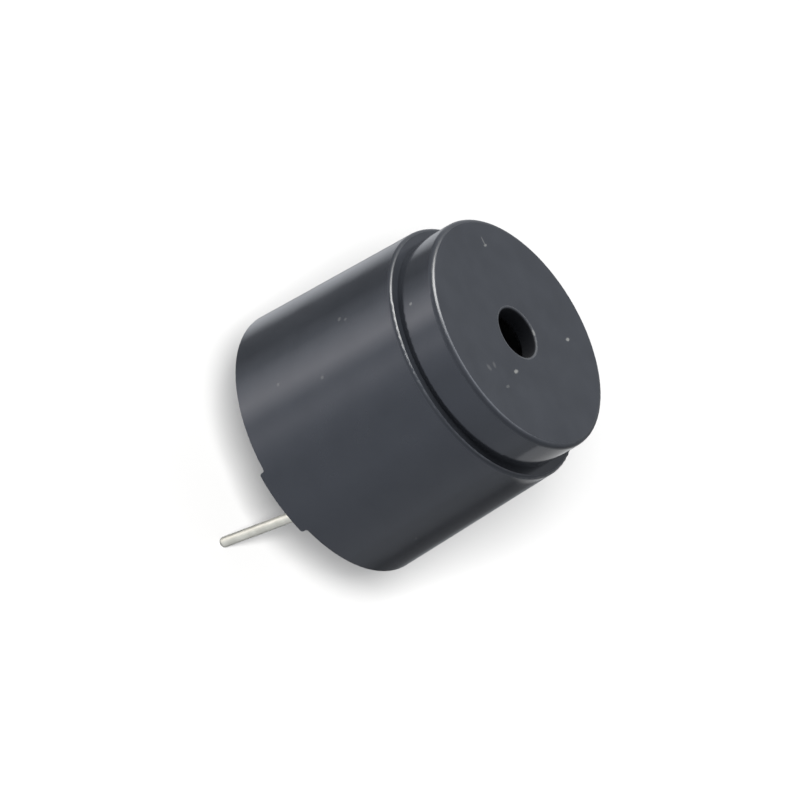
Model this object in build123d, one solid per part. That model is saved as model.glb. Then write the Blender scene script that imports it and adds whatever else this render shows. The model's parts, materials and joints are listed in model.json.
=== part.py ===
from build123d import *
import math
import os

# Case, outside
total_height = 14.0
base_diameter = 15.8
wall_taper = 0.3
ledge_width = 0.625
disc_height = 2.52
top_edge_radius = 0.3
rim_edge_radius = 0.2

# Case, standoff feet at the lower rim
foot_height = 0.35
foot_count = 3
foot_arc = 29.0
foot_edge_share = 0.4
first_foot_angle = -39.0

# Case, inside
top_wall = 1.0
disc_wall = 1.05
case_wall = 1.15
shoulder_drop = 1.2
sound_hole_diameter = 3.0
sound_hole_edge_radius = 0.12

# Fits between pieces
slip_clearance = 0.05
press_clearance = 0.02

# Sealing resin and circuit board
resin_recess = 0.9
resin_depth = 0.7
meniscus_height = 0.3
meniscus_width = 0.35
board_thickness = 1.0
track_thickness = 0.07
track_width = 0.5
component_room = 1.6

# Terminal pins
pin_pitch = 7.6
pin_diameter = 0.6
pin_board_rise = 0.6
pin_tip_radius = 0.2
pin_collar_diameter = 1.2
pin_bend_height_share = 0.5
pin_bend_radius = 1.2
positive_pin_reach = 7.68
negative_pin_reach = 5.0
positive_pin_lean = 8.5
positive_pin_lean_heading = 215.0
pin_pad_diameter = 1.7
pin_solder_height = 0.45
pin_solder_top_diameter = 0.8

# Support ring
ring_skirt_wall = 0.6
diaphragm_seat_depth = 1.0
diaphragm_seat_width = 0.6

# Diaphragm and its weight
diaphragm_thickness = 0.1
weight_diameter_share = 0.425
weight_thickness = 0.6
weight_edge_radius = 0.15

# Yoke plate and pole core
yoke_thickness = 1.0
core_diameter_share = 0.455
core_shoulder = 0.3
core_rivet_overhang = 0.4
core_rivet_height = 0.25
pole_gap = 0.4
core_edge_radius = 0.15

# Coil
bobbin_tube_wall = 0.3
bobbin_flange_thickness = 0.3
bobbin_top_setback = 0.35
winding_setback = 0.25
drive_winding_share = 0.7
lead_diameter = 0.16
lead_bend_radius = 0.2
lead_height_share = 0.4
lead_gap = 0.65
lead_hole_clearance = 0.35
lead_angles = (315.0, 135.0, 225.0)
lead_pad_diameter = 0.9
lead_solder_height = 0.32

# Ring magnet
magnet_wall_share = 0.244
magnet_gap = 0.82
magnet_edge_radius = 0.15

# Transistor
transistor_length = 2.9
transistor_width = 1.3
transistor_body_height = 0.85
transistor_standoff = 0.1
transistor_draft_inset = 0.08
transistor_centre_y = 1.7
transistor_lead_width = 0.42
transistor_lead_thickness = 0.12
transistor_lead_reach = 0.55
transistor_foot_length = 0.3
transistor_lead_spacing = 1.9
transistor_lead_height_share = 0.5

# Resistor
resistor_length = 2.0
resistor_width = 1.25
resistor_height = 0.5
resistor_cap_length = 0.35
resistor_cap_thickness = 0.05
resistor_centre_y = -1.7

# Solder at the transistor and the resistor
solder_fillet_length = 0.2
solder_fillet_height_share = 0.6

# Radii of the case and of the pins
base_radius = base_diameter / 2
rim_radius = base_radius - wall_taper
disc_radius = rim_radius - ledge_width
bore_radius = base_radius - case_wall
cavity_radius = disc_radius - disc_wall
sound_hole_radius = sound_hole_diameter / 2
pin_radius = pin_diameter / 2
pin_offset = pin_pitch / 2
pin_hole_radius = pin_radius + slip_clearance
lead_radius = lead_diameter / 2

# Heights of the stack, counted up from the seating plane
ledge_height = total_height - disc_height
pin_bend_height = pin_bend_height_share * resin_recess
board_bottom = resin_recess + resin_depth
board_top = board_bottom + board_thickness
track_top = board_top + track_thickness
yoke_bottom = board_top + component_room
yoke_top = yoke_bottom + yoke_thickness
shoulder_height = ledge_height - shoulder_drop
diaphragm_bottom = shoulder_height - diaphragm_seat_depth
diaphragm_top = diaphragm_bottom + diaphragm_thickness
core_top = diaphragm_bottom - pole_gap
magnet_top = diaphragm_bottom - magnet_gap
bobbin_top = core_top - bobbin_top_setback

# Radii of the stack, counted in from the bore
ring_outer_radius = bore_radius - slip_clearance
skirt_radius = ring_outer_radius - ring_skirt_wall
yoke_radius = skirt_radius - press_clearance
diaphragm_radius = cavity_radius - slip_clearance
diaphragm_pocket_radius = cavity_radius
ring_bore_radius = diaphragm_radius - diaphragm_seat_width
weight_radius = weight_diameter_share * diaphragm_radius
magnet_radius = ring_bore_radius - slip_clearance
magnet_inner_radius = magnet_radius - magnet_wall_share * magnet_radius
bobbin_flange_radius = magnet_inner_radius - lead_gap
lead_circle_radius = bobbin_flange_radius + lead_gap / 2
lead_hole_radius = lead_radius + lead_hole_clearance
core_radius = core_diameter_share * bobbin_flange_radius
spigot_radius = core_radius - core_shoulder
rivet_radius = spigot_radius + core_rivet_overhang
bobbin_inner_radius = core_radius + slip_clearance
bobbin_tube_radius = bobbin_inner_radius + bobbin_tube_wall
winding_radius = bobbin_flange_radius - winding_setback
drive_winding_radius = bobbin_tube_radius + drive_winding_share * (winding_radius - bobbin_tube_radius)
winding_bottom = yoke_top + bobbin_flange_thickness
winding_top = bobbin_top - bobbin_flange_thickness


# Solid turned about the upright axis from corners given as radius and height
def turned(corners, arc=360.0):
    outline = Polyline(*[(radius, 0, height) for radius, height in corners], close=True)
    return revolve(make_face(outline), Axis.Z, revolution_arc=arc)


# Tube between two radii and two heights
def tube(inner_radius, outer_radius, bottom, top):
    corners = [(inner_radius, bottom), (outer_radius, bottom), (outer_radius, top), (inner_radius, top)]
    return turned(corners)


# Upright round bar
def bar(radius, bottom, top, x=0, y=0):
    place = Pos(x, y, bottom)
    return place * extrude(Circle(radius), top - bottom)


# Upright block given by its middle, its plan size and two heights
def block(x, y, length, width, bottom, top):
    return Pos(x, y, bottom) * extrude(Rectangle(length, width), top - bottom)


# Round edge of a turned solid nearest to a radius and a height
def ring_edge(solid, radius, height):
    circles = solid.edges().filter_by(GeomType.CIRCLE)
    return min(circles, key=lambda edge: abs(edge.radius - radius) + abs(edge.arc_center.Z - height))


# Round wire along a bent path
def bent_wire(points, diameter, bend_radius):
    path = FilletPolyline(*points, radius=bend_radius)
    section = Plane(origin=path @ 0, z_dir=path % 0) * Circle(diameter / 2)
    return sweep(section, path=path)


# Place on the board under each coil lead
def lead_places():
    turns = [math.radians(angle) for angle in lead_angles]
    return [(lead_circle_radius * math.cos(turn), lead_circle_radius * math.sin(turn)) for turn in turns]


# Gap between two standoff feet
def foot_gap(index):
    foot_pitch = 360.0 / foot_count
    start = first_foot_angle + foot_arc / 2 + index * foot_pitch
    reach = base_radius + slip_clearance
    corners = [(0, 0), (reach, 0), (reach, foot_height), (0, foot_height)]
    return Rot(0, 0, start) * turned(corners, foot_pitch - foot_arc)


# Straight edges at the ends of the feet, along their undersides and along the rim beside them
def foot_ends(case):
    straight = case.edges().filter_by(GeomType.LINE)
    return [edge for edge in straight if round(edge.tangent_at(0).Z) == 0]


# Moulded case with stepped front, sound hole and standoff feet
def make_case():
    cavity_top = total_height - top_wall
    corners = [
        (bore_radius, 0),
        (base_radius, 0),
        (rim_radius, ledge_height),
        (disc_radius, ledge_height),
        (disc_radius, total_height),
        (sound_hole_radius, total_height),
        (sound_hole_radius, cavity_top),
        (cavity_radius, cavity_top),
        (cavity_radius, shoulder_height),
        (bore_radius, shoulder_height),
    ]
    case = turned(corners)
    case = fillet(ring_edge(case, disc_radius, total_height), top_edge_radius)
    case = fillet(ring_edge(case, rim_radius, ledge_height), rim_edge_radius)
    case = fillet(ring_edge(case, sound_hole_radius, total_height), sound_hole_edge_radius)
    for index in range(foot_count):
        case -= foot_gap(index)
    return fillet(foot_ends(case), foot_edge_share * foot_height)


# Resin that closes the case, risen a little at the wall, with the pins through it
def make_sealing_resin():
    wall_bottom = resin_recess - meniscus_height
    corners = [
        (0, resin_recess),
        (bore_radius - meniscus_width, resin_recess),
        (bore_radius, wall_bottom),
        (bore_radius, board_bottom),
        (0, board_bottom),
    ]
    resin = turned(corners)
    for side in (pin_offset, -pin_offset):
        resin -= pin_head(side)
    return resin


# Round circuit board with two pin holes
def make_circuit_board():
    board = bar(ring_outer_radius, board_bottom, board_top)
    for side in (pin_offset, -pin_offset):
        board -= bar(pin_hole_radius, board_bottom, board_top, side)
    return board


# Straight copper strip between two places on the board
def track_strip(start, end):
    run = math.dist(start, end)
    middle_x = (start[0] + end[0]) / 2
    middle_y = (start[1] + end[1]) / 2
    heading = math.degrees(math.atan2(end[1] - start[1], end[0] - start[0]))
    strip = extrude(Rectangle(run, track_width), track_thickness)
    return Pos(middle_x, middle_y, board_top) * Rot(0, 0, heading) * strip


# Places of the transistor feet: base, emitter and collector
def transistor_feet():
    half_span = transistor_width / 2 + transistor_lead_reach - transistor_foot_length / 2
    side = transistor_lead_spacing / 2
    low = transistor_centre_y - half_span
    high = transistor_centre_y + half_span
    return [(side, low), (-side, low), (0, high)]


# Places of the two resistor ends, right and left
def resistor_ends():
    half_span = (resistor_length - resistor_cap_length) / 2
    return [(half_span, resistor_centre_y), (-half_span, resistor_centre_y)]


# Copper tracks that join the pins, the coil leads and the parts
def make_board_tracks():
    base, emitter, collector = transistor_feet()
    right_end, left_end = resistor_ends()
    supply_lead, drive_lead, feedback_lead = lead_places()
    positive = (pin_offset, 0)
    negative = (-pin_offset, 0)
    supply_strip = track_strip(positive, supply_lead) + pad(supply_lead, lead_pad_diameter)
    strips = [
        supply_strip + pad(positive, pin_pad_diameter),
        track_strip(collector, drive_lead) + pad(drive_lead, lead_pad_diameter) + foot_pad(collector),
        track_strip(left_end, feedback_lead) + pad(feedback_lead, lead_pad_diameter) + end_pad(left_end),
        track_strip(right_end, base) + end_pad(right_end) + foot_pad(base),
        track_strip(emitter, negative) + pad(negative, pin_pad_diameter) + foot_pad(emitter),
    ]
    holes = bar(pin_hole_radius, board_top, track_top, pin_offset)
    holes += bar(pin_hole_radius, board_top, track_top, -pin_offset)
    return Compound([strip - holes for strip in strips])


# Round copper pad
def pad(place, diameter):
    return bar(diameter / 2, board_top, track_top, place[0], place[1])


# Copper pad under a transistor foot
def foot_pad(place):
    length = transistor_foot_length + 2 * solder_fillet_length
    return block(place[0], place[1], track_width, length, board_top, track_top)


# Copper pad under a resistor end
def end_pad(place):
    length = resistor_cap_length + 2 * solder_fillet_length
    return block(place[0], place[1], length, resistor_width, board_top, track_top)


# Collar under the board, flush with the resin's lower face, and the end of a pin through the board
def pin_head(side):
    collar = bar(pin_collar_diameter / 2, resin_recess, board_bottom, side)
    return collar + bar(pin_radius, board_bottom, board_top + pin_board_rise, side)


# Tinned pin that leans to one side below the resin
def make_positive_pin():
    fall = pin_bend_height + positive_pin_reach
    spread = fall * math.tan(math.radians(positive_pin_lean))
    heading = math.radians(positive_pin_lean_heading)
    tip = (pin_offset + spread * math.cos(heading), spread * math.sin(heading), -positive_pin_reach)
    points = [(pin_offset, 0, resin_recess), (pin_offset, 0, pin_bend_height), tip]
    pin = bent_wire(points, pin_diameter, pin_bend_radius)
    pin = fillet(pin.faces().sort_by(Axis.Z)[0].edges(), pin_tip_radius)
    return pin + pin_head(pin_offset)


# Shorter straight pin
def make_negative_pin():
    pin = bar(pin_radius, -negative_pin_reach, resin_recess, -pin_offset)
    pin = fillet(pin.faces().sort_by(Axis.Z)[0].edges(), pin_tip_radius)
    return pin + pin_head(-pin_offset)


# Solder around the pins, through the board and in a cone above it
def make_pin_solder_joints():
    solder_top = track_top + pin_solder_height
    corners = [
        (pin_radius, board_bottom),
        (pin_hole_radius, board_bottom),
        (pin_hole_radius, track_top),
        (pin_pad_diameter / 2, track_top),
        (pin_solder_top_diameter / 2, solder_top),
        (pin_radius, solder_top),
    ]
    joint = turned(corners)
    return Compound([Pos(side, 0, 0) * joint for side in (pin_offset, -pin_offset)])


# Plastic ring that carries the yoke, the magnet and the diaphragm
def make_support_ring():
    corners = [
        (skirt_radius, board_top),
        (ring_outer_radius, board_top),
        (ring_outer_radius, shoulder_height),
        (diaphragm_pocket_radius, shoulder_height),
        (diaphragm_pocket_radius, diaphragm_bottom),
        (ring_bore_radius, diaphragm_bottom),
        (ring_bore_radius, yoke_top),
        (skirt_radius, yoke_top),
    ]
    return turned(corners)


# Thin steel diaphragm
def make_diaphragm():
    return bar(diaphragm_radius, diaphragm_bottom, diaphragm_top)


# Steel weight fixed to the middle of the diaphragm
def make_diaphragm_weight():
    weight_top = diaphragm_top + weight_thickness
    weight = bar(weight_radius, diaphragm_top, weight_top)
    return fillet(ring_edge(weight, weight_radius, weight_top), weight_edge_radius)


# Ferrite ring around the coil
def make_ring_magnet():
    magnet = tube(magnet_inner_radius, magnet_radius, yoke_top, magnet_top)
    rims = [ring_edge(magnet, magnet_radius, magnet_top), ring_edge(magnet, magnet_inner_radius, magnet_top)]
    return fillet(rims, magnet_edge_radius)


# Steel plate under the coil, with a hole for the core and one for each lead
def make_yoke_plate():
    plate = tube(spigot_radius, yoke_radius, yoke_bottom, yoke_top)
    for x, y in lead_places():
        plate -= bar(lead_hole_radius, yoke_bottom, yoke_top, x, y)
    return plate


# Steel core, riveted under the yoke plate
def make_pole_core():
    corners = [
        (0, yoke_bottom - core_rivet_height),
        (rivet_radius, yoke_bottom - core_rivet_height),
        (rivet_radius, yoke_bottom),
        (spigot_radius, yoke_bottom),
        (spigot_radius, yoke_top),
        (core_radius, yoke_top),
        (core_radius, core_top),
        (0, core_top),
    ]
    core = turned(corners)
    return fillet(ring_edge(core, core_radius, core_top), core_edge_radius)


# Plastic bobbin with two flanges
def make_coil_bobbin():
    corners = [
        (bobbin_inner_radius, yoke_top),
        (bobbin_flange_radius, yoke_top),
        (bobbin_flange_radius, winding_bottom),
        (bobbin_tube_radius, winding_bottom),
        (bobbin_tube_radius, winding_top),
        (bobbin_flange_radius, winding_top),
        (bobbin_flange_radius, bobbin_top),
        (bobbin_inner_radius, bobbin_top),
    ]
    return turned(corners)


# Inner winding that drives the diaphragm
def make_drive_winding():
    return tube(bobbin_tube_radius, drive_winding_radius, winding_bottom, winding_top)


# Outer winding that feeds the circuit back
def make_feedback_winding():
    return tube(drive_winding_radius, winding_radius, winding_bottom, winding_top)


# Wire ends from the coil down to the board
def make_coil_leads():
    leave_height = winding_bottom + lead_height_share * (winding_top - winding_bottom)
    points = [
        (winding_radius, 0, leave_height),
        (lead_circle_radius, 0, leave_height),
        (lead_circle_radius, 0, track_top),
    ]
    lead = bent_wire(points, lead_diameter, lead_bend_radius)
    return Compound([Rot(0, 0, angle) * lead for angle in lead_angles])


# Solder dots over the wire ends
def make_coil_lead_solder():
    solder_top = track_top + lead_solder_height
    pad_radius = lead_pad_diameter / 2
    corners = [
        (lead_radius, track_top),
        (pad_radius, track_top),
        (lead_diameter, solder_top),
        (lead_radius, solder_top),
    ]
    dot = turned(corners)
    return Compound([Pos(x, y, 0) * dot for x, y in lead_places()])


# Moulded transistor body, narrower at the top
def make_transistor_body():
    body_bottom = track_top + transistor_standoff
    lower = Rectangle(transistor_length, transistor_width)
    inset = 2 * transistor_draft_inset
    upper = Rectangle(transistor_length - inset, transistor_width - inset)
    body = loft([lower, Pos(0, 0, transistor_body_height) * upper])
    return Pos(0, transistor_centre_y, body_bottom) * body


# Bent transistor lead with its foot at the origin of its own frame, the body towards plus Y
def transistor_lead():
    knee_height = transistor_standoff + transistor_lead_height_share * transistor_body_height
    foot_start = -transistor_foot_length / 2
    shank_start = transistor_foot_length / 2 - transistor_lead_thickness
    shank_end = transistor_foot_length / 2
    body_face = transistor_lead_reach - transistor_foot_length / 2
    draft_gain = transistor_draft_inset * transistor_lead_height_share
    body_reach = body_face + draft_gain
    corners = [
        (0, foot_start, 0),
        (0, shank_end, 0),
        (0, shank_end, knee_height - transistor_lead_thickness),
        (0, body_reach, knee_height - transistor_lead_thickness),
        (0, body_reach, knee_height),
        (0, shank_start, knee_height),
        (0, shank_start, transistor_lead_thickness),
        (0, foot_start, transistor_lead_thickness),
    ]
    side = make_face(Polyline(*corners, close=True))
    return extrude(side, transistor_lead_width / 2, dir=(1, 0, 0), both=True)


# Three transistor leads
def make_transistor_leads(body):
    base, emitter, collector = transistor_feet()
    lead = transistor_lead()
    leads = [
        Pos(base[0], base[1], track_top) * lead,
        Pos(emitter[0], emitter[1], track_top) * lead,
        Pos(collector[0], collector[1], track_top) * Rot(0, 0, 180) * lead,
    ]
    return Compound([piece - body for piece in leads])


# Ceramic body of the chip resistor
def make_resistor_body():
    length = resistor_length - 2 * resistor_cap_thickness
    width = resistor_width - 2 * resistor_cap_thickness
    bottom = track_top + resistor_cap_thickness
    top = track_top + resistor_height - resistor_cap_thickness
    return block(0, resistor_centre_y, length, width, bottom, top)


# Metal caps over both ends of the resistor
def make_resistor_end_caps(body):
    caps = []
    for x, y in resistor_ends():
        cap = block(x, y, resistor_cap_length, resistor_width, track_top, track_top + resistor_height)
        caps.append(cap - body)
    return Compound(caps)


# Wedge of solder whose tall side stands at the origin and whose foot runs towards minus Y
def solder_wedge(width, height):
    corners = [(0, 0, 0), (0, -solder_fillet_length, 0), (0, 0, height)]
    side = make_face(Polyline(*corners, close=True))
    return extrude(side, width / 2, dir=(1, 0, 0), both=True)


# Solder at the transistor feet and at the resistor ends
def make_component_solder():
    base, emitter, collector = transistor_feet()
    right_end, left_end = resistor_ends()
    foot_wedge = solder_wedge(transistor_lead_width, solder_fillet_height_share * transistor_lead_thickness)
    end_wedge = solder_wedge(resistor_width, solder_fillet_height_share * resistor_height)
    foot_half = transistor_foot_length / 2
    cap_half = resistor_cap_length / 2
    turned_back = Rot(0, 0, 180)
    turned_right = Rot(0, 0, 90)
    turned_left = Rot(0, 0, -90)
    return Compound([
        Pos(base[0], base[1] - foot_half, track_top) * foot_wedge,
        Pos(emitter[0], emitter[1] - foot_half, track_top) * foot_wedge,
        Pos(collector[0], collector[1] + foot_half, track_top) * turned_back * foot_wedge,
        Pos(right_end[0] + cap_half, right_end[1], track_top) * turned_right * end_wedge,
        Pos(left_end[0] - cap_half, left_end[1], track_top) * turned_left * end_wedge,
    ])


transistor_body = make_transistor_body()
resistor_body = make_resistor_body()

pieces = {
    "case": make_case(),
    "sealing_resin": make_sealing_resin(),
    "circuit_board": make_circuit_board(),
    "board_tracks": make_board_tracks(),
    "positive_pin": make_positive_pin(),
    "negative_pin": make_negative_pin(),
    "pin_solder_joints": make_pin_solder_joints(),
    "support_ring": make_support_ring(),
    "diaphragm": make_diaphragm(),
    "diaphragm_weight": make_diaphragm_weight(),
    "ring_magnet": make_ring_magnet(),
    "yoke_plate": make_yoke_plate(),
    "pole_core": make_pole_core(),
    "coil_bobbin": make_coil_bobbin(),
    "drive_winding": make_drive_winding(),
    "feedback_winding": make_feedback_winding(),
    "coil_leads": make_coil_leads(),
    "coil_lead_solder": make_coil_lead_solder(),
    "transistor_body": transistor_body,
    "transistor_leads": make_transistor_leads(transistor_body),
    "resistor_body": resistor_body,
    "resistor_end_caps": make_resistor_end_caps(resistor_body),
    "component_solder": make_component_solder(),
}

os.makedirs("parts", exist_ok=True)
for name, piece in pieces.items():
    export_step(piece, f"parts/{name}.step")
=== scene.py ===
import json
import math

import bpy
from mathutils import Matrix, Vector


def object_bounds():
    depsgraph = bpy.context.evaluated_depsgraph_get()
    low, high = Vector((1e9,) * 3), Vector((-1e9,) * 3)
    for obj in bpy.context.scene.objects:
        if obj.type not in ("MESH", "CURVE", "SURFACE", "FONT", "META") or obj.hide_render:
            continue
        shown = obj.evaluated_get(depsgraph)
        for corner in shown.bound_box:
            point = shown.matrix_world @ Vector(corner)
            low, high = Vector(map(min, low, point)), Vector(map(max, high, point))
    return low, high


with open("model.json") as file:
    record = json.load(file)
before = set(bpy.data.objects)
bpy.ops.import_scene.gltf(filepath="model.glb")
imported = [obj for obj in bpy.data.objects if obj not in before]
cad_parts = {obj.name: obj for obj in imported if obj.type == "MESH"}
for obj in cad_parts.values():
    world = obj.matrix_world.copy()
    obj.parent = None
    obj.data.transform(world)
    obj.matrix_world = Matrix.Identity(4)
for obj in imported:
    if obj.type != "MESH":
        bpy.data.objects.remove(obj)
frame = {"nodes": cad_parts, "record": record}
cad_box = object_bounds()
nodes = frame["nodes"]

mm = 0.001
quarter_turn = 90
half_turn = 180
full_turn = 360

# Camera at the photograph's viewing angle, in degrees, with its frame in metres
camera_azimuth = 39.9
camera_elevation = 30.72
camera_roll = 59.48
camera_distance = 1200 * mm
camera_reach = 4800 * mm
frame_width = 43.8 * mm
sensor_width = 36.0
aim_height = 5 * mm
aim_point = Vector((0, 0, aim_height))
aim_right = 0.249 * mm
aim_up = 0.25 * mm

# Floor under the pin tip
floor_size = 1400 * mm
floor_drop = 0.05 * mm
floor_color = (0.3, 0.298, 0.295)
floor_shade_share = 0.98
floor_cloud_size = 40 * mm
floor_roughness = 0.9

# Lights: turn from the camera's azimuth and elevation in degrees, distance, width, height, radiance
key_light = (-88, 58, 500 * mm, 300 * mm, 300 * mm, 34.0)
edge_light = (-119, 56, 500 * mm, 370 * mm, 190 * mm, 18.0)
edge_light_color = (1.0, 0.94, 0.82)
top_light = (-172, 68, 500 * mm, 420 * mm, 300 * mm, 3.0)
side_card = (123.5, -31, 9.3 * mm, 9.5 * mm, 6.0 * mm, 0.5)
side_card_aim = Vector((3.82, 3.01, 14.85)) * mm
floor_light = (-1.7, 35.6, 3000 * mm, 500 * mm, 500 * mm, 444.0)
floor_fill = (-60, 60, 3000 * mm, 400 * mm, 400 * mm, 136.0)

# Backdrop, and the room that lights the part: cool where it is dim, warm where it is bright
backdrop_color = (0.95, 0.95, 0.95)
room_color = (0.96, 0.99, 1.04)
room_color_bright = (1.03, 0.99, 0.97)
bright_start = 1.3
bright_end = 2.6
room_top_brightness = 4.0

# Brightness of the room above the horizon, overhead and straight below
room_above = 0.5
room_zenith = 0.7
room_nadir = 0.3

# Where the room changes, by the rise of a direction from -1, straight down, to 1, straight up
horizon_start = -0.2
horizon_end = 0.4
zenith_start = 0.6
zenith_end = 0.85
nadir_start = -0.7
nadir_end = -0.9

# Room below the horizon: turn from the camera's azimuth in degrees, brightness
room_stops = [
    (-180, 0.22),
    (-172, 0.4),
    (-164, 0.75),
    (-148, 0.9),
    (-138, 0.70),
    (-130, 0.2),
    (-106, 0.2),
    (-90, 0.74),
    (-76, 1.9),
    (-60, 3.2),
    (-44, 1.5),
    (-30, 1.95),
    (-16, 1.4),
    (0, 1.18),
    (30, 1.25),
    (60, 0.98),
    (90, 0.80),
    (110, 0.48),
    (130, 0.13),
    (156, 0.15),
    (168, 0.28),
    (180, 0.22),
]

# Noise: detail of clouds, grain and swells, and the part of its range that is spread over a change
cloud_detail = 3.0
grain_detail = 2.0
swell_detail = 1.0
noise_low = 0.3
noise_high = 0.7

# Sizes of the case that its finish follows
front_height = cad_box[1][2]
ledge_height = 11.48 * mm
rim_radius = 7.6 * mm
disc_radius = 6.975 * mm
sound_hole_radius = 1.5 * mm

# Case plastic
case_color_low = (0.0095, 0.0105, 0.0125)
case_color_high = (0.0120, 0.0132, 0.0156)
case_gloss_tint = (0.83, 0.88, 1.0)
case_mottle_size = 1.6 * mm
case_smear_size = 3.0 * mm
case_roughness_low = 0.10
case_roughness_high = 0.18
case_swell_size = 2.2 * mm
case_swell_height = 0.012 * mm
case_grain_size = 0.09 * mm
case_grain_share = 0.03

# Dull edge of the sound hole, and painted shade that darkens its wall nearly to black
hole_edge_width = 0.12 * mm
hole_edge_fade = 0.05 * mm
hole_roughness = 0.65
hole_shade_margin = 0.01 * mm
hole_shade_fade = 0.02 * mm
# Painted shade: colour of the sound hole's wall, standing in for the shade inside the hole
hole_painted_shade_color = (0.003, 0.0033, 0.004)

# Worn outer edges of the rim and of the front
rim_edge_width = 0.25 * mm
rim_edge_drop = 0.28 * mm
front_edge_width = 0.325 * mm
front_edge_drop = 0.32 * mm
worn_edge_fade = 0.06 * mm
worn_edge_roughness = 0.3
worn_edges = [
    (rim_radius - rim_edge_width, ledge_height - rim_edge_drop),
    (disc_radius - front_edge_width, front_height - front_edge_drop),
]

# Dust in some of the cells that the surface is divided into, with its size as shares of a cell
dust_color = (0.11, 0.11, 0.105)
dust_cell = 1.3 * mm
dust_core_share = 0.035
dust_end_share = 2 * dust_core_share
dust_bare_share = 0.8

# Marks: core and faint end as shares of their size
mark_core_share = 0.6
mark_end_share = 1.2

# Marks on the front: place, half length, half width, turn about the upright axis in degrees, strength
front_marks = [
    (2.82 * mm, -0.592 * mm, 0.22 * mm, 0.11 * mm, -50, 0.72),
    (-1.426 * mm, 4.387 * mm, 0.19 * mm, 0.10 * mm, -50, 0.72),
    (-5.2 * mm, -1.98 * mm, 0.3 * mm, 0.06 * mm, 32, 0.3),
    (-4.98 * mm, -1.84 * mm, 0.16 * mm, 0.08 * mm, -50, 0.5),
    (3.56 * mm, -2.94 * mm, 0.22 * mm, 0.14 * mm, 60, 0.16),
    (3.18 * mm, -2.45 * mm, 0.2 * mm, 0.12 * mm, 20, 0.16),
    (4.2 * mm, -1.5 * mm, 0.2 * mm, 0.09 * mm, -50, 0.2),
    (-0.62 * mm, 1.44 * mm, 0.2 * mm, 0.12 * mm, 25, 0.4),
]

# Round marks on the walls: place, radius, strength
wall_marks = [
    (Vector((1.96, -7.489, 6.033)) * mm, 0.11 * mm, 0.3),
    (Vector((-0.858, -7.647, 7.839)) * mm, 0.12 * mm, 0.25),
    (Vector((-0.631, -7.658, 8.26)) * mm, 0.1 * mm, 0.2),
    (Vector((1.015, -7.751, 3.151)) * mm, 0.1 * mm, 0.25),
    (Vector((0.228, -6.971, 12.326)) * mm, 0.1 * mm, 0.62),
]

# Tinned wire
wire_color_low = (0.52, 0.51, 0.455)
wire_color_high = (0.62, 0.61, 0.55)
wire_cloud_size = 0.5 * mm
wire_streak_size = 0.08 * mm
wire_streak_stretch = (1, 1, 0.08)
wire_streak_depth = 0.002 * mm
wire_roughness_low = 0.46
wire_roughness_high = 0.6

# Sealing resin
resin_color_low = (0.010, 0.010, 0.011)
resin_color_high = (0.018, 0.018, 0.019)
resin_cloud_size = 2.0 * mm
resin_smear_size = 1.2 * mm
resin_roughness_low = 0.14
resin_roughness_high = 0.28
resin_swell_size = 2.5 * mm
resin_swell_height = 0.05 * mm

# Plain finish of the inner pieces, and the record's classes that are metal
plain_shade_share = 0.8
plain_cloud_size = 0.8 * mm
plain_grain_size = 0.1 * mm
plain_grain_height = 0.002 * mm
plain_roughness = 0.45
plain_roughness_low_share = 0.85
plain_roughness_high_share = 1.15
metal_classes = ("brass", "brushed_steel")


# New node of a shader tree with its settings
def add(tree, kind, **settings):
    made = tree.nodes.new(kind)
    for name, value in settings.items():
        setattr(made, name, value)
    return made


# Puts a value into an input, or a link where the value is a socket
def feed(tree, socket, value):
    if isinstance(value, bpy.types.NodeSocket):
        tree.links.new(value, socket)
    else:
        socket.default_value = value


# Object coordinates in metres
def place_of(tree):
    return add(tree, "ShaderNodeTexCoord").outputs["Object"]


# Noise with features of a given size
def noise(tree, size, detail=cloud_detail, stretch=(1, 1, 1)):
    mapping = add(tree, "ShaderNodeMapping")
    feed(tree, mapping.inputs["Vector"], place_of(tree))
    mapping.inputs["Scale"].default_value = stretch
    made = add(tree, "ShaderNodeTexNoise")
    feed(tree, made.inputs["Vector"], mapping.outputs["Vector"])
    made.inputs["Scale"].default_value = 1 / size
    made.inputs["Detail"].default_value = detail
    return made.outputs["Fac"]


# Linear change of a value from one range to another
def spread(tree, value, low, high, start=noise_low, end=noise_high):
    made = add(tree, "ShaderNodeMapRange")
    feed(tree, made.inputs["Value"], value)
    made.inputs["From Min"].default_value = start
    made.inputs["From Max"].default_value = end
    made.inputs["To Min"].default_value = low
    made.inputs["To Max"].default_value = high
    return made.outputs["Result"]


# Sum, product, larger of the two or other rule for two values
def combine(tree, rule, first, second):
    made = add(tree, "ShaderNodeMath", operation=rule)
    feed(tree, made.inputs[0], first)
    feed(tree, made.inputs[1], second)
    return made.outputs["Value"]


# Colour between two colours
def blend(tree, share, first, second):
    made = add(tree, "ShaderNodeMix", data_type="RGBA")
    feed(tree, made.inputs["Factor"], share)
    for socket, value in (("A_Color", first), ("B_Color", second)):
        target = next(entry for entry in made.inputs if entry.identifier == socket)
        feed(tree, target, value if isinstance(value, bpy.types.NodeSocket) else (*value, 1))
    return next(entry for entry in made.outputs if entry.identifier == "Result_Color")


# Length of a vector
def length_of(tree, vector):
    made = add(tree, "ShaderNodeVectorMath", operation="LENGTH")
    feed(tree, made.inputs[0], vector)
    return made.outputs["Value"]


# Upright part of a vector
def upright_of(tree, vector):
    made = add(tree, "ShaderNodeSeparateXYZ")
    feed(tree, made.inputs["Vector"], vector)
    return made.outputs["Z"]


# Distance from the upright axis
def radius_of(tree):
    flat = add(tree, "ShaderNodeVectorMath", operation="MULTIPLY")
    feed(tree, flat.inputs[0], place_of(tree))
    flat.inputs[1].default_value = (1, 1, 0)
    return length_of(tree, flat.outputs["Vector"])


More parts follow.
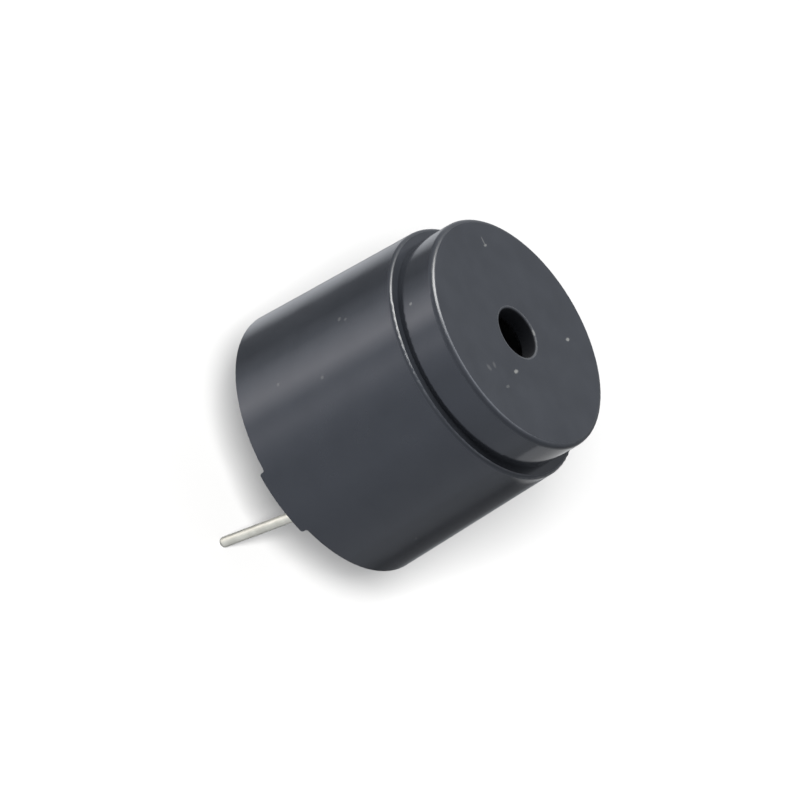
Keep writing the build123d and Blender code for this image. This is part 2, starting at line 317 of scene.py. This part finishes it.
# Surface normal that follows a relief of a given depth in metres
def bump(tree, relief, depth):
    made = add(tree, "ShaderNodeBump")
    made.inputs["Distance"].default_value = depth
    made.inputs["Strength"].default_value = 1.0
    feed(tree, made.inputs["Height"], relief)
    return made.outputs["Normal"]


# Material with one main shader
def material_of(name):
    material = bpy.data.materials.new(name)
    material.use_nodes = True
    return material, material.node_tree, material.node_tree.nodes["Principled BSDF"]


# Round or stretched mark at one place
def mark_mask(tree, place, half_length, half_width, turn, strength):
    mapping = add(tree, "ShaderNodeMapping", vector_type="TEXTURE")
    feed(tree, mapping.inputs["Vector"], place_of(tree))
    mapping.inputs["Location"].default_value = place
    mapping.inputs["Rotation"].default_value = (0, 0, math.radians(turn))
    mapping.inputs["Scale"].default_value = (half_length, half_width, half_width)
    length = length_of(tree, mapping.outputs["Vector"])
    return spread(tree, length, strength, 0, mark_core_share, mark_end_share)


# Fine dust scattered over a surface
def dust_mask(tree):
    cells = add(tree, "ShaderNodeTexVoronoi", feature="F1")
    feed(tree, cells.inputs["Vector"], place_of(tree))
    cells.inputs["Scale"].default_value = 1 / dust_cell
    spot = spread(tree, cells.outputs["Distance"], 1, 0, dust_core_share, dust_end_share)
    chosen = add(tree, "ShaderNodeSeparateColor")
    feed(tree, chosen.inputs["Color"], cells.outputs["Color"])
    kept = combine(tree, "GREATER_THAN", chosen.outputs["Red"], dust_bare_share)
    return combine(tree, "MULTIPLY", spot, kept)


# Sound hole, out to a margin round it and with a soft end
def hole_mask(tree, margin, fade):
    end = sound_hole_radius + margin
    return spread(tree, radius_of(tree), 1, 0, end, end + fade)


# Rounded outer edge that lies beyond a radius and above a height
def edge_mask(tree, radius, height):
    outside = spread(tree, radius_of(tree), 0, 1, radius, radius + worn_edge_fade)
    above = spread(tree, upright_of(tree, place_of(tree)), 0, 1, height, height + worn_edge_fade)
    return combine(tree, "MULTIPLY", outside, above)


# Mottled colour of the case with its dust, its marks and painted shade on the wall of the hole
def case_color(tree):
    mottle = spread(tree, noise(tree, case_mottle_size), 0, 1)
    clean = blend(tree, mottle, case_color_low, case_color_high)
    marks = [((x, y, front_height), *rest) for x, y, *rest in front_marks]
    marks += [(place, radius, radius, 0, strength) for place, radius, strength in wall_marks]
    dust = dust_mask(tree)
    for mark in marks:
        dust = combine(tree, "MAXIMUM", dust, mark_mask(tree, *mark))
    dusty = blend(tree, dust, clean, dust_color)
    # Painted shade: the wall of the sound hole is darkened nearly to black
    wall = hole_mask(tree, hole_shade_margin, hole_shade_fade)
    return blend(tree, wall, dusty, hole_painted_shade_color)


# Roughness of the case, smeared by handling and duller at the hole and on the worn edges
def case_roughness(tree):
    smear = spread(tree, noise(tree, case_smear_size), case_roughness_low, case_roughness_high)
    dull = combine(tree, "MULTIPLY", hole_mask(tree, hole_edge_width, hole_edge_fade), hole_roughness)
    finish = combine(tree, "MAXIMUM", smear, dull)
    for radius, height in worn_edges:
        worn = combine(tree, "MULTIPLY", edge_mask(tree, radius, height), worn_edge_roughness)
        finish = combine(tree, "MAXIMUM", finish, worn)
    return finish


# Dark moulded plastic with a slow swell and a fine grain
def case_plastic():
    material, tree, shader = material_of("case_plastic")
    feed(tree, shader.inputs["Base Color"], case_color(tree))
    feed(tree, shader.inputs["Roughness"], case_roughness(tree))
    grain = combine(tree, "MULTIPLY", noise(tree, case_grain_size, grain_detail), case_grain_share)
    relief = combine(tree, "ADD", noise(tree, case_swell_size, swell_detail), grain)
    feed(tree, shader.inputs["Normal"], bump(tree, relief, case_swell_height))
    shader.inputs["Specular Tint"].default_value = (*case_gloss_tint, 1)
    return material


# Tinned wire with lengthwise drawing marks
def tinned_wire():
    material, tree, shader = material_of("tinned_wire")
    cloud = spread(tree, noise(tree, wire_cloud_size), 0, 1)
    feed(tree, shader.inputs["Base Color"], blend(tree, cloud, wire_color_low, wire_color_high))
    streaks = noise(tree, wire_streak_size, grain_detail, wire_streak_stretch)
    drawn = spread(tree, streaks, wire_roughness_low, wire_roughness_high)
    feed(tree, shader.inputs["Roughness"], drawn)
    feed(tree, shader.inputs["Normal"], bump(tree, streaks, wire_streak_depth))
    shader.inputs["Metallic"].default_value = 1.0
    return material


# Black cast resin with a slow swell
def sealing_resin():
    material, tree, shader = material_of("sealing_resin")
    cloud = spread(tree, noise(tree, resin_cloud_size), 0, 1)
    feed(tree, shader.inputs["Base Color"], blend(tree, cloud, resin_color_low, resin_color_high))
    smear = spread(tree, noise(tree, resin_smear_size), resin_roughness_low, resin_roughness_high)
    feed(tree, shader.inputs["Roughness"], smear)
    swell = noise(tree, resin_swell_size, swell_detail)
    feed(tree, shader.inputs["Normal"], bump(tree, swell, resin_swell_height))
    return material


# Plain finish with a soft cloud of colour and a fine grain
def plain_finish(name, color, metallic):
    material, tree, shader = material_of(name)
    cloud = spread(tree, noise(tree, plain_cloud_size), 0, 1)
    darker = [plain_shade_share * part for part in color]
    feed(tree, shader.inputs["Base Color"], blend(tree, cloud, darker, color))
    grain = noise(tree, plain_grain_size, grain_detail)
    smoother = plain_roughness_low_share * plain_roughness
    rougher = plain_roughness_high_share * plain_roughness
    feed(tree, shader.inputs["Roughness"], spread(tree, grain, smoother, rougher))
    feed(tree, shader.inputs["Normal"], bump(tree, grain, plain_grain_height))
    shader.inputs["Metallic"].default_value = metallic
    return material


# Material of one of the record's slots
def material_for(slot, look):
    makers = {"case_plastic": case_plastic, "tinned_wire": tinned_wire, "sealing_resin": sealing_resin}
    if slot in makers:
        return makers[slot]()
    metallic = 1.0 if look["class"] in metal_classes else 0.0
    return plain_finish(slot, look["base_color"], metallic)


# Gives every piece the material of its slot
def dress_pieces():
    looks = frame["record"]["materials"]
    made = {look["slot"]: material_for(look["slot"], look) for look in looks}
    for entry in frame["record"]["subparts"]:
        mesh = nodes[entry["node"]].data
        mesh.materials.clear()
        mesh.materials.append(made[entry["material_slot"]])


# Direction from the part for a turn from the camera's azimuth and an elevation
def direction_of(turn, elevation):
    azimuth = math.radians(camera_azimuth + turn)
    rise = math.radians(elevation)
    level = math.cos(rise)
    return Vector((math.sin(azimuth) * level, -math.cos(azimuth) * level, math.sin(rise)))


# Camera rolled about its line of sight
def add_camera():
    azimuth = math.radians(camera_azimuth)
    roll = math.radians(camera_roll)
    back = direction_of(0, camera_elevation)
    level_right = Vector((math.cos(azimuth), math.sin(azimuth), 0))
    level_up = back.cross(level_right)
    right = level_right * math.cos(roll) + level_up * math.sin(roll)
    up = level_up * math.cos(roll) - level_right * math.sin(roll)
    data = bpy.data.cameras.new("camera")
    data.sensor_width = sensor_width
    data.lens = sensor_width * camera_distance / frame_width
    data.clip_end = camera_reach
    camera = bpy.data.objects.new("camera", data)
    target = aim_point + right * aim_right + up * aim_up
    turn = Matrix((right, up, back)).transposed().to_4x4()
    camera.matrix_world = Matrix.Translation(target + back * camera_distance) @ turn
    bpy.context.scene.collection.objects.link(camera)
    bpy.context.scene.camera = camera


# Flat light that faces a place on the part
def add_light(name, light, aim=aim_point):
    turn, elevation, distance, width, height, radiance = light
    data = bpy.data.lights.new(name, "AREA")
    data.shape = "RECTANGLE"
    data.size = width
    data.size_y = height
    data.energy = radiance * math.pi * width * height
    made = bpy.data.objects.new(name, data)
    direction = direction_of(turn, elevation)
    made.location = aim + direction * distance
    made.rotation_euler = direction.to_track_quat("Z", "Y").to_euler()
    made.visible_camera = False
    bpy.context.scene.collection.objects.link(made)
    return made


# Keeps a light for some of the objects
def light_only(light, targets):
    receivers = bpy.data.collections.new(light.name + "_receivers")
    for target in targets:
        receivers.objects.link(target)
    light.light_linking.receiver_collection = receivers


# Paper of the floor with a faint cloud
def floor_paper():
    material, tree, shader = material_of("floor_paper")
    cloud = spread(tree, noise(tree, floor_cloud_size), 0, 1)
    shade = [floor_shade_share * part for part in floor_color]
    feed(tree, shader.inputs["Base Color"], blend(tree, cloud, shade, floor_color))
    shader.inputs["Roughness"].default_value = floor_roughness
    return material


# Pale floor just under the longest pin
def add_floor():
    half = floor_size / 2
    level = cad_box[0][2] - floor_drop
    corners = [(-half, -half, level), (half, -half, level), (half, half, level), (-half, half, level)]
    mesh = bpy.data.meshes.new("floor")
    mesh.from_pydata(corners, [], [(0, 1, 2, 3)])
    mesh.materials.append(floor_paper())
    floor = bpy.data.objects.new("floor", mesh)
    bpy.context.scene.collection.objects.link(floor)
    floor.visible_glossy = False
    floor.visible_shadow = False
    return floor


# Colour of the room for a brightness, warmer where it is bright
def room_shade(brightness):
    share = min(max((brightness - bright_start) / (bright_end - bright_start), 0), 1)
    level = brightness / room_top_brightness
    return [level * (cool + share * (warm - cool)) for cool, warm in zip(room_color, room_color_bright)]


# Colour of the room below the horizon, by the turn from the camera's azimuth
def room_below(tree, direction):
    turned = add(tree, "ShaderNodeVectorRotate", rotation_type="Z_AXIS")
    feed(tree, turned.inputs["Vector"], direction)
    turned.inputs["Angle"].default_value = math.radians(quarter_turn - camera_azimuth)
    circle = add(tree, "ShaderNodeTexGradient", gradient_type="RADIAL")
    feed(tree, circle.inputs["Vector"], turned.outputs["Vector"])
    ramp = add(tree, "ShaderNodeValToRGB")
    feed(tree, ramp.inputs["Fac"], circle.outputs["Fac"])
    stops = ramp.color_ramp.elements
    while len(stops) < len(room_stops):
        stops.new(1.0)
    for stop, (turn, brightness) in zip(stops, room_stops):
        stop.position = (turn + half_turn) / full_turn
        stop.color = (*room_shade(brightness), 1)
    return ramp.outputs["Color"]


# Colour of the room in every direction
def room_all_round(tree):
    direction = add(tree, "ShaderNodeTexCoord").outputs["Generated"]
    rise = upright_of(tree, direction)
    above = spread(tree, rise, 0, 1, horizon_start, horizon_end)
    zenith = spread(tree, rise, 0, 1, zenith_start, zenith_end)
    nadir = spread(tree, rise, 1, 0, nadir_end, nadir_start)
    upper = blend(tree, zenith, room_shade(room_above), room_shade(room_zenith))
    lower = blend(tree, nadir, room_below(tree, direction), room_shade(room_nadir))
    return blend(tree, above, lower, upper)


# Pale backdrop for the camera, and a room that lights the part and shows in its gloss
def add_world():
    world = bpy.data.worlds.new("studio")
    world.use_nodes = True
    tree = world.node_tree
    tree.nodes.clear()
    room = add(tree, "ShaderNodeBackground")
    feed(tree, room.inputs["Color"], room_all_round(tree))
    room.inputs["Strength"].default_value = room_top_brightness
    backdrop = add(tree, "ShaderNodeBackground")
    backdrop.inputs["Color"].default_value = (*backdrop_color, 1)
    seen = add(tree, "ShaderNodeLightPath").outputs["Is Camera Ray"]
    chosen = add(tree, "ShaderNodeMixShader")
    feed(tree, chosen.inputs[0], seen)
    feed(tree, chosen.inputs[1], room.outputs["Background"])
    feed(tree, chosen.inputs[2], backdrop.outputs["Background"])
    output = add(tree, "ShaderNodeOutputWorld")
    feed(tree, output.inputs["Surface"], chosen.outputs["Shader"])
    bpy.context.scene.world = world


# One light for the body of the part, three seen only in the gloss of the case, and two for the floor
def add_lights(floor):
    key = add_light("key_light", key_light)
    key.visible_glossy = False
    light_only(key, nodes.values())
    edges = add_light("edge_light", edge_light)
    edges.data.color = edge_light_color
    top = add_light("top_light", top_light)
    card = add_light("side_card", side_card, side_card_aim)
    for light in (edges, top, card):
        light.visible_diffuse = False
        light_only(light, [nodes["case"]])
    light_only(add_light("floor_light", floor_light), [floor])
    fill = add_light("floor_fill", floor_fill)
    fill.data.use_shadow = False
    light_only(fill, [floor])


dress_pieces()
add_camera()
add_lights(add_floor())
add_world()
bpy.context.scene.view_settings.view_transform = "Standard"
